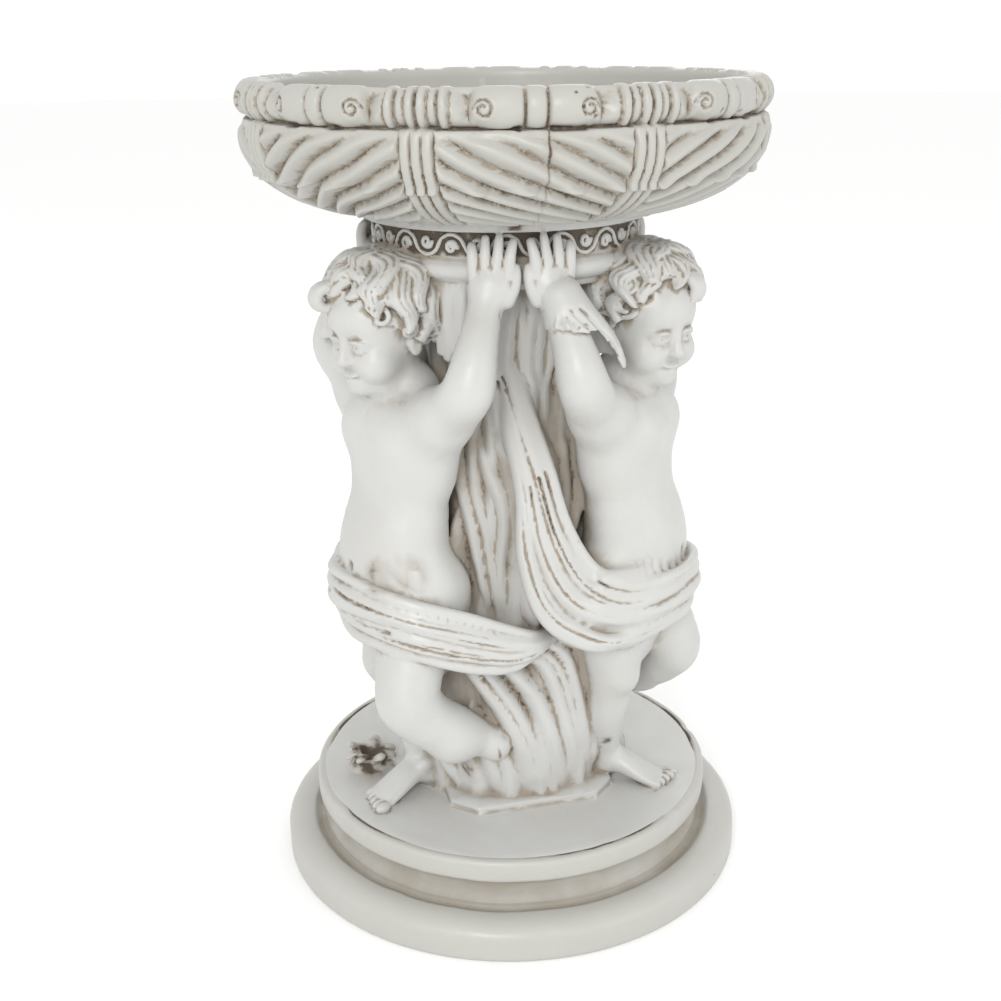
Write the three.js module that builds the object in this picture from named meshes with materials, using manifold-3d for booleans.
// A small cast garden statue: three cherubs stand round a column of hanging cloth and hold a wide shallow bowl up
// on their palms. It is put together from three castings: the stepped round plinth, the group of cherubs with its
// own ground disc and neck drum, and the bowl, which is bedded on the drum.
// Millimetres, +Z up, origin at the middle of the plinth's underside, -Y is the front, where two cherubs' hands meet.
import * as THREE from "three";
import { mergeVertices } from "three/addons/utils/BufferGeometryUtils.js";
import Module from "manifold-3d";

const wasm = await Module();
wasm.setup();

// Joint between two castings
const BED_GAP = 0.3;

// Softened edge of a casting
const EDGE = 1;

// Plinth: a rounded bottom step, a hollowed riser and a rounded top plate
const STEP_R = 91.5;
const STEP_H = 14;
const STEP_ROUND = 8.5;
const STEP_ROUND_H = 5.3;
const RISER_R = 77;
const RISER_H = 10;
const RISER_HOLLOW = 2.2;
const PLATE_R = 78.8;
const PLATE_H = 9;
const PLATE_ROUND = 1.8;

// Ground disc let into the plate, and the low ledge where the cloth of each bay ends
const GROUND_R = 75;
const GROUND_H = 3;
const LEDGE_H = 3.2;
const LEDGE_REACH = 43.5;
const LEDGE_LENGTH = 64;
const LEDGE_TURN = 52;

// Cherubs: how far the drum is above the ground, and how far the bodies stand from the axis
const CHERUBS = 3;
const CARRY_H = 202;
const BODY_OUT = 47;

// Palms laid against the neck drum, and how far to each side of the cherub's middle, in degrees
const PALM_THICKNESS = 6;
const PALM_ANGLE = 49.5;

// Neck drum that the palms carry: lower moulding, frieze band and top fillet
const DRUM_R = 49;
const DRUM_BAND_R = 47.3;
const DRUM_MOULDING_H = 9;
const DRUM_BAND_H = 8.5;
const DRUM_FILLET_R = 51;
const DRUM_FILLET_H = 3.5;
const DRUM_SCROLLS = 18;
const DRUM_SCROLL_DEPTH = 1;

// Column of hanging cloth
const COLUMN_FOOT_R = 42;
const COLUMN_WAIST_R = 28;
const COLUMN_NECK_R = 35;
const FOLDS = 12;
const FOLD_DEPTH = 2.6;

// Bowl: its height and outer radii, wall and floor, the rolled rim, and the fluted panels below it
const BOWL_H = 43.7;
const BOWL_FOOT_R = 46;
const BOWL_BELLY_H = 25.7;
const RIM_R = 92;
const RIM_OVERHANG = 1;
const RIM_H = 12;
const RIM_WIDTH = 11;
const BOWL_WALL = 8;
const BOWL_FLOOR = 8.7;
const PANELS = 8;
const FLUTES_IN_PANEL = 5;
const FLUTE_DEPTH = 1.3;
const BAND_RISE = 1.1;
const RIM_SCROLLS = 16;
const RIM_NOTCH = 2.4;

// Heights that follow from the stack
const PLATE_TOP = STEP_H + RISER_H + PLATE_H;
const DRUM_Z = PLATE_TOP + CARRY_H;
const DRUM_TOP = DRUM_Z + DRUM_MOULDING_H + DRUM_BAND_H + DRUM_FILLET_H;
const BOWL_Z = DRUM_TOP + BED_GAP;

// The belly stands just inside the rim
const BOWL_BELLY_R = RIM_R - RIM_OVERHANG;

const TAU = 2 * Math.PI;
const { lerp, clamp, smoothstep, degToRad: radians, radToDeg: degrees } = THREE.MathUtils;

// How finely the plinth and the disc let into it are turned
const TURNED_SIDES = 44;

// A closed geometry as a solid
function solid(geometry) {
  const bare = geometry.clone();
  for (const name of Object.keys(bare.attributes)) if (name !== "position") bare.deleteAttribute(name);
  const merged = mergeVertices(bare, 1e-4);
  return new wasm.Manifold(
    new wasm.Mesh({
      numProp: 3,
      vertProperties: merged.attributes.position.array,
      triVerts: new Uint32Array(merged.index.array),
    }),
  );
}

// A solid back as a geometry
function geometryOf(made) {
  const { numProp, numVert, vertProperties, triVerts } = made.getMesh();
  const points = new Float32Array(numVert * 3);
  for (let i = 0; i < numVert; i++) points.set(vertProperties.subarray(i * numProp, i * numProp + 3), i * 3);
  return new THREE.BufferGeometry()
    .setAttribute("position", new THREE.BufferAttribute(points, 3))
    .setIndex(new THREE.BufferAttribute(new Uint32Array(triVerts), 1));
}

// All the geometries in a list joined into one solid
function joined(geometries) {
  return geometries.map(solid).reduce((whole, next) => whole.add(next));
}

// A profile of [radius, height] points turned about +Z
function turned(profile, sides) {
  const points = profile.map(([r, z]) => new THREE.Vector2(r, z));
  return new THREE.LatheGeometry(points, sides).rotateX(Math.PI / 2);
}

// Points [radius, height] of an arc about a centre, from one angle to another in degrees, 0 outwards and 90 up
function arc([r, z], [radiusOut, radiusUp], from, to, steps) {
  return Array.from({ length: steps + 1 }, (_, i) => {
    const a = radians(lerp(from, to, i / steps));
    return [r + radiusOut * Math.cos(a), z + radiusUp * Math.sin(a)];
  });
}

// A turned geometry whose surface is moved in and out: rise gives millimetres outwards for an angle and a height.
// The angle runs from the front, -Y, towards +X.
function embossed(geometry, rise) {
  const { position } = geometry.attributes;
  for (let i = 0; i < position.count; i++) {
    const [x, y, z] = [position.getX(i), position.getY(i), position.getZ(i)];
    const r = Math.hypot(x, y);
    if (r < 1) continue;
    const wider = 1 + rise(Math.atan2(x, -y), z, r) / r;
    position.setXY(i, x * wider, y * wider);
  }
  return geometry;
}

// A rounded rod along a smooth line. Each stop is [x, y, z, half width, half thickness], and the width lies along
// the direction wide, as near as the line allows. Both ends are rounded.
function rod(stops, { sides = 8, steps = 8, wide = [0, 1, 0] } = {}) {
  const line = new THREE.CatmullRomCurve3(stops.map(([x, y, z]) => new THREE.Vector3(x, y, z)));
  const half = (column, t) => {
    const at = t * (stops.length - 1);
    const i = Math.min(Math.floor(at), stops.length - 2);
    return lerp(stops[i][column] ?? stops[i][3], stops[i + 1][column] ?? stops[i + 1][3], at - i);
  };
  const ball = new THREE.SphereGeometry(1, sides, steps);
  const { position, uv } = ball.attributes;
  const across = new THREE.Vector3(...wide);
  for (let i = 0; i < position.count; i++) {
    const polar = (1 - uv.getY(i)) * Math.PI;
    const turn = uv.getX(i) * TAU;
    const t = clamp((1 - Math.cos(polar)) / 2, 0, 1);
    const along = line.getTangent(t);
    const side = across.clone().addScaledVector(along, -across.dot(along)).normalize();
    const up = new THREE.Vector3().crossVectors(side, along);
    const round = Math.sin(polar) ** 0.45;
    const tip = -Math.cos(polar) * Math.abs(Math.cos(polar)) ** 5 * half(3, t) * 0.6;
    const point = line
      .getPoint(t)
      .addScaledVector(along, tip)
      .addScaledVector(side, Math.cos(turn) * round * half(3, t))
      .addScaledVector(up, Math.sin(turn) * round * half(4, t));
    position.setXYZ(i, point.x, point.y, point.z);
  }
  return ball;
}

// An egg at a place, with its three half sizes
function egg([x, y, z], [a, b, c], sides = 8, rows = 6) {
  return new THREE.SphereGeometry(1, sides, rows).rotateX(Math.PI / 2).scale(a, b, c).translate(x, y, z);
}

// The plinth: one turned casting, with a shallow seat for the ground disc
function plinth() {
  const riserTop = STEP_H + RISER_H;
  const seat = PLATE_TOP - GROUND_H - BED_GAP;
  const profile = [
    [0, 0],
    [STEP_R - EDGE, 0],
    [STEP_R, EDGE],
    ...arc([STEP_R - STEP_ROUND, STEP_H - STEP_ROUND_H], [STEP_ROUND, STEP_ROUND_H], 0, 90, 3),
    [RISER_R, STEP_H],
    [RISER_R - RISER_HOLLOW, lerp(STEP_H, riserTop, 0.5)],
    [RISER_R, riserTop],
    ...arc([PLATE_R - PLATE_ROUND, riserTop + PLATE_ROUND], [PLATE_ROUND, PLATE_ROUND], -80, 0, 1),
    ...arc([PLATE_R - PLATE_ROUND, PLATE_TOP - PLATE_ROUND], [PLATE_ROUND, PLATE_ROUND], 0, 90, 2),
    [GROUND_R + BED_GAP, PLATE_TOP],
    [GROUND_R + BED_GAP, seat],
    [0, seat],
  ];
  return turned(profile, TURNED_SIDES);
}

// The figure is drawn standing on ground at height 33, with the drum 202 above it and its body 47 from the axis.
// Its heights follow CARRY_H and its places follow BODY_OUT.
const DRAWN = { ground: 33, carry: 202, out: 47 };
const up = (z) => PLATE_TOP + ((z - DRAWN.ground) * CARRY_H) / DRAWN.carry;

// Places on a cherub: out from the axis, towards its own left, and up. It faces +X here.
const place = ([out, left, z, ...halves]) => [out + BODY_OUT - DRAWN.out, left, up(z), ...halves];
const limb = (stops, shape) => rod(stops.map(place), shape);
const lump = (at, halves, sides, rows) => egg(place(at), halves, sides, rows);

// Raised arm with the palm laid against the drum. side is 1 for its left arm and -1 for its right.
function arm(side) {
  const wristAngle = radians(PALM_ANGLE - 2.5);
  const wristR = DRUM_R + 3.7;
  const [wristOut, wristLeft] = [wristR * Math.cos(wristAngle), side * wristR * Math.sin(wristAngle)];
  const raised = rod(
    [
      place([45, side * 12, 183, 9.5]),
      place([45.5, side * 28, 191, 9]),
      place([47, side * 43.5, 202, 8.6]),
      place([44, side * 43.5, 212, 7.8]),
      [wristOut + 3, wristLeft + side * 1.5, up(224), 6.2],
      [wristOut, wristLeft, up(230), 6.4],
    ],
    { sides: 6, steps: 8, wide: [1, 0, 0] },
  );
  return [raised, hand(side)];
}

// An open hand with four fingers: its outline in the plane of the palm, laid against the drum
function hand(side) {
  const [wrist, palm, knuckles, tips] = [5.6, 9, 9.5, 18.5];
  const finger = palm / 2;
  const outline = new THREE.Shape().moveTo(-wrist, -7).lineTo(wrist, -7).lineTo(palm, 2).lineTo(palm, knuckles);
  for (const k of [1.5, 0.5, -0.5, -1.5]) {
    // Fingers spread a little, and the middle ones are the longest
    const [middle, half] = [k * finger * 1.12, finger * 0.31];
    const reach = tips - 1.1 * Math.abs(k);
    outline.lineTo(middle + half, reach).lineTo(middle - half, reach);
    if (k > -1.5) outline.lineTo((k - 0.5) * finger, knuckles);
  }
  outline.lineTo(-palm, knuckles).lineTo(-palm, 2);
  const flat = new THREE.ExtrudeGeometry(outline, { depth: PALM_THICKNESS, bevelEnabled: false });
  // The outline's X turns along the drum, its Y up, and the thickness outwards, with 1 mm sunk in the drum
  flat.rotateX(Math.PI / 2).rotateZ(Math.PI / 2).translate(DRUM_BAND_R + PALM_THICKNESS - 1, 0, DRUM_Z - 1);
  return flat.rotateZ(side * radians(PALM_ANGLE));
}

// Head with a calm, plain child's face, and a cap of curls
function head() {
  const hair = new THREE.SphereGeometry(1, 14, 8).rotateX(Math.PI / 2);
  const { position } = hair.attributes;
  for (let i = 0; i < position.count; i++) {
    const [x, y, z] = [position.getX(i), position.getY(i), position.getZ(i)];
    const curl = 1 + 0.11 * Math.cos(7 * Math.atan2(y, x)) * Math.cos(9 * Math.asin(clamp(z, -1, 1)));
    position.setXYZ(i, x * curl, y * curl, z * curl);
  }
  const [hairOut, hairLeft, hairZ] = place([52.5, 0, 225]);
  hair.scale(18, 19, 19).translate(hairOut, hairLeft, hairZ);
  return [
    hair,
    lump([57.5, 0, 212], [14.5, 13.8, 15.5], 9, 7),
    limb([[44, 0, 186, 9.5], [53, 0, 206, 8.2]], { sides: 6, steps: 3 }),
    limb([[71, 0, 217, 1.8], [73.6, 0, 210, 2.4]], { sides: 4, steps: 3 }),
  ];
}

// Trunk, standing right leg and bent left leg
function body() {
  return [
    limb(
      [
        [45, 0, 96, 21, 16],
        [49, 0, 117, 25.5, 19.5],
        [50.5, 0, 136, 24.5, 18.5],
        [49.5, 0, 156, 23.5, 17],
        [48, 0, 176, 23.5, 16],
        [46, 0, 199, 18, 11],
      ],
      { sides: 12, steps: 7 },
    ),
    limb([[45, -11, 118, 14], [47, -13, 100, 13], [47.5, -13, 84, 10.6], [44, -8, 66, 9.2], [42.5, -3, 46, 6.6]], {
      sides: 7,
      steps: 6,
    }),
    limb([[40, 3, 37, 6.5, 5.5], [50, 0, 38.5, 7, 5], [65, -3, 35.5, 6.8, 3]], { sides: 6, steps: 4 }),
    limb(
      [
        [46, 10, 114, 14],
        [57, 17, 97, 12.5],
        [60, 20.5, 84, 11],
        [50, 24, 73, 9.8],
        [38, 27, 64, 7],
        [26, 27, 57, 6],
      ],
      { sides: 7, steps: 7 },
    ),
  ];
}

// Cloth: two rolled folds that come down from the column on the right, cross the hips and gather on the left, the
// two tails that spread from there to the ground, and the crumpled end that lies beside the standing foot
function drapery() {
  const fold = { sides: 6, steps: 7, wide: [0, 0, 1] };
  const tail = { sides: 5, steps: 4 };
  return [
    limb(
      [
        [30, -22, 172, 6, 5],
        [44, -30, 132, 8, 5],
        [64, -18, 119, 8, 5],
        [69, 4, 117, 8, 5],
        [56, 26, 113, 8, 5],
        [35, 34, 112, 8, 5],
      ],
      fold,
    ),
    limb(
      [
        [29, -27, 154, 6, 5],
        [44, -33, 116, 6, 5],
        [62, -20, 106, 5.4, 5],
        [67, 2, 105, 5.4, 5],
        [56, 25, 101, 6, 5],
        [28, 34, 97, 7, 6],
      ],
      fold,
    ),
    limb([[24, 33, 94, 8], [24, 36, 64, 9], [31, 34, 36, 10]], tail),
    limb([[22, 33, 90, 8], [13, 37, 62, 9], [6, 45, 36, 9]], tail),
    lump([51, -28, 36], [7, 5, 5], 5, 3),
  ];
}

// The column of hanging cloth: folds that lean as they fall, and spread into a wide foot
function column() {
  const rows = 7;
  const profile = Array.from({ length: rows + 1 }, (_, i) => {
    const z = lerp(PLATE_TOP - GROUND_H / 2, DRUM_Z + DRUM_MOULDING_H / 2, i / rows);
    const level = (z - PLATE_TOP) / CARRY_H;
    const foot = (COLUMN_FOOT_R - COLUMN_WAIST_R) * (1 - smoothstep(level, -0.02, 0.5));
    const neck = (COLUMN_NECK_R - COLUMN_WAIST_R) * smoothstep(level, 0.55, 1);
    return [COLUMN_WAIST_R + foot + neck, z];
  });
  const closed = [[0, profile[0][1]], ...profile, [0, profile.at(-1)[1]]];
  const lean = (z) => 0.9 * Math.sin(((z - PLATE_TOP) / CARRY_H) * Math.PI * 1.5);
  return embossed(turned(closed, FOLDS * 3), (angle, z) => FOLD_DEPTH * Math.cos(FOLDS * angle + 2 * lean(z)));
}

// Neck drum, which is one casting with the figures: a lower roll, a frieze of scrolls and a top fillet
function drum() {
  const bandZ = DRUM_Z + DRUM_MOULDING_H;
  const bandMiddle = bandZ + DRUM_BAND_H / 2;
  const plain = turned(
    [
      [0, DRUM_Z],
      [DRUM_R - 5, DRUM_Z],
      [DRUM_R, DRUM_Z + 3],
      [DRUM_R, bandZ - 1.5],
      [DRUM_BAND_R, bandZ],
      [DRUM_BAND_R, bandMiddle],
      [DRUM_BAND_R, bandZ + DRUM_BAND_H],
      [DRUM_FILLET_R, DRUM_TOP - DRUM_FILLET_H * 0.6],
      [DRUM_FILLET_R, DRUM_TOP],
      [0, DRUM_TOP],
    ],
    DRUM_SCROLLS * 2,
  );
  return embossed(plain, (angle, z) =>
    Math.abs(z - bandMiddle) < 0.5 ? DRUM_SCROLL_DEPTH * Math.cos(DRUM_SCROLLS * angle) : 0,
  );
}

function ledge() {
  const corner = 9;
  const [near, far, half] = [LEDGE_REACH, LEDGE_REACH - 20, LEDGE_LENGTH / 2];
  const outline = new THREE.Shape()
    .moveTo(-half * 0.7, -far)
    .lineTo(-half, -near + corner)
    .lineTo(-half + corner, -near)
    .lineTo(half - corner, -near)
    .lineTo(half, -near + corner)
    .lineTo(half * 0.7, -far);
  return new THREE.ExtrudeGeometry(outline, { depth: LEDGE_H + 1, bevelEnabled: false }).translate(0, 0, PLATE_TOP - 1);
}

function cherubGroup() {
  // Feet and cloth are cut off level inside the disc
  const under = turned(
    [
      [0, 0],
      [GROUND_R, 0],
      [GROUND_R, PLATE_TOP - GROUND_H / 2],
      [0, PLATE_TOP - GROUND_H / 2],
    ],
    12,
  );
  const figure = joined([...body(), ...head(), ...arm(1), ...arm(-1), ...drapery()]);
  const cherub = figure.subtract(solid(under));
  const disc = turned(
    [
      [0, PLATE_TOP - GROUND_H],
      [GROUND_R, PLATE_TOP - GROUND_H],
      [GROUND_R, PLATE_TOP],
      [0, PLATE_TOP],
    ],
    TURNED_SIDES,
  );
  let whole = joined([disc, column(), drum()]);
  for (let i = 0; i < CHERUBS; i++) {
    // The cherubs face the middle of each third, so that hands meet at the front
    const turn = (i + 0.5) * (360 / CHERUBS);
    whole = whole.add(cherub.rotate([0, 0, turn - 90]));
    whole = whole.add(solid(ledge()).rotate([0, 0, turn - LEDGE_TURN]));
  }
  return geometryOf(whole);
}

// The bowl: a belly with eight raised bands and slanting flutes between them, a notched rolled rim, and a plain
// hollow inside
function bowl() {
  const sides = PANELS * FLUTES_IN_PANEL * 2;
  const bellyRows = 5;
  const bellyTop = 12;
  const rimZ = BOWL_Z + BOWL_H - RIM_H / 2;
  const bellyZ = BOWL_Z + BOWL_BELLY_H;
  const outside = [
    [0, BOWL_Z],
    ...arc([BOWL_FOOT_R, bellyZ], [BOWL_BELLY_R - BOWL_FOOT_R, BOWL_BELLY_H], -90, bellyTop, bellyRows),
    [RIM_R - 4, BOWL_Z + BOWL_H - RIM_H],
    ...arc([RIM_R - RIM_WIDTH / 2, rimZ], [RIM_WIDTH / 2, RIM_H / 2], -50, 90, 3),
    [0, BOWL_Z + BOWL_H],
  ];
  const panel = TAU / PANELS;
  const rise = (angle, z) => {
    if (z > rimZ - RIM_H / 2 + 0.1) return Math.cos(RIM_SCROLLS * angle) < -0.75 ? -RIM_NOTCH : 0;
    // Which row of the belly this is, 0 at the foot
    const slope = degrees(Math.asin(clamp((z - bellyZ) / BOWL_BELLY_H, -1, 1)));
    const row = Math.round(((slope + 90) / (bellyTop + 90)) * bellyRows);
    if (row === 0 || row === bellyRows) return 0;
    // Place across the panel from band to band, 0 to 1; flutes lean one way in one panel and back in the next
    const across = angle / panel + 0.5;
    const at = across - Math.floor(across + 0.01);
    const leans = Math.floor(across + 0.01) % 2 === 0 ? 1 : -1;
    if (at < 0.02) return BAND_RISE;
    return FLUTE_DEPTH * Math.cos(Math.PI * (2 * FLUTES_IN_PANEL * at + leans * row));
  };
  const inside = [
    [0, BOWL_Z + BOWL_FLOOR],
    ...arc(
      [BOWL_FOOT_R, BOWL_Z + BOWL_H - RIM_H],
      [BOWL_BELLY_R - BOWL_WALL - BOWL_FOOT_R, BOWL_H - RIM_H - BOWL_FLOOR],
      -90,
      0,
      3,
    ),
    [RIM_R - RIM_WIDTH + 2, BOWL_Z + BOWL_H + 1],
    [0, BOWL_Z + BOWL_H + 1],
  ];
  return geometryOf(solid(embossed(turned(outside, sides), rise)).subtract(solid(turned(inside, 44))));
}

const stone = { metalness: 0, roughness: 0.6 };
const group = new THREE.Group();

const plinthMesh = new THREE.Mesh(plinth(), new THREE.MeshStandardMaterial({ ...stone, color: 0xdad7d0 }));
plinthMesh.name = "plinth";
group.add(plinthMesh);

const groupMesh = new THREE.Mesh(cherubGroup(), new THREE.MeshStandardMaterial({ ...stone, color: 0xe2e0da }));
groupMesh.name = "cherub_group";
group.add(groupMesh);

const bowlMesh = new THREE.Mesh(bowl(), new THREE.MeshStandardMaterial({ ...stone, color: 0xdedbd3 }));
bowlMesh.name = "bowl";
group.add(bowlMesh);

export default group;
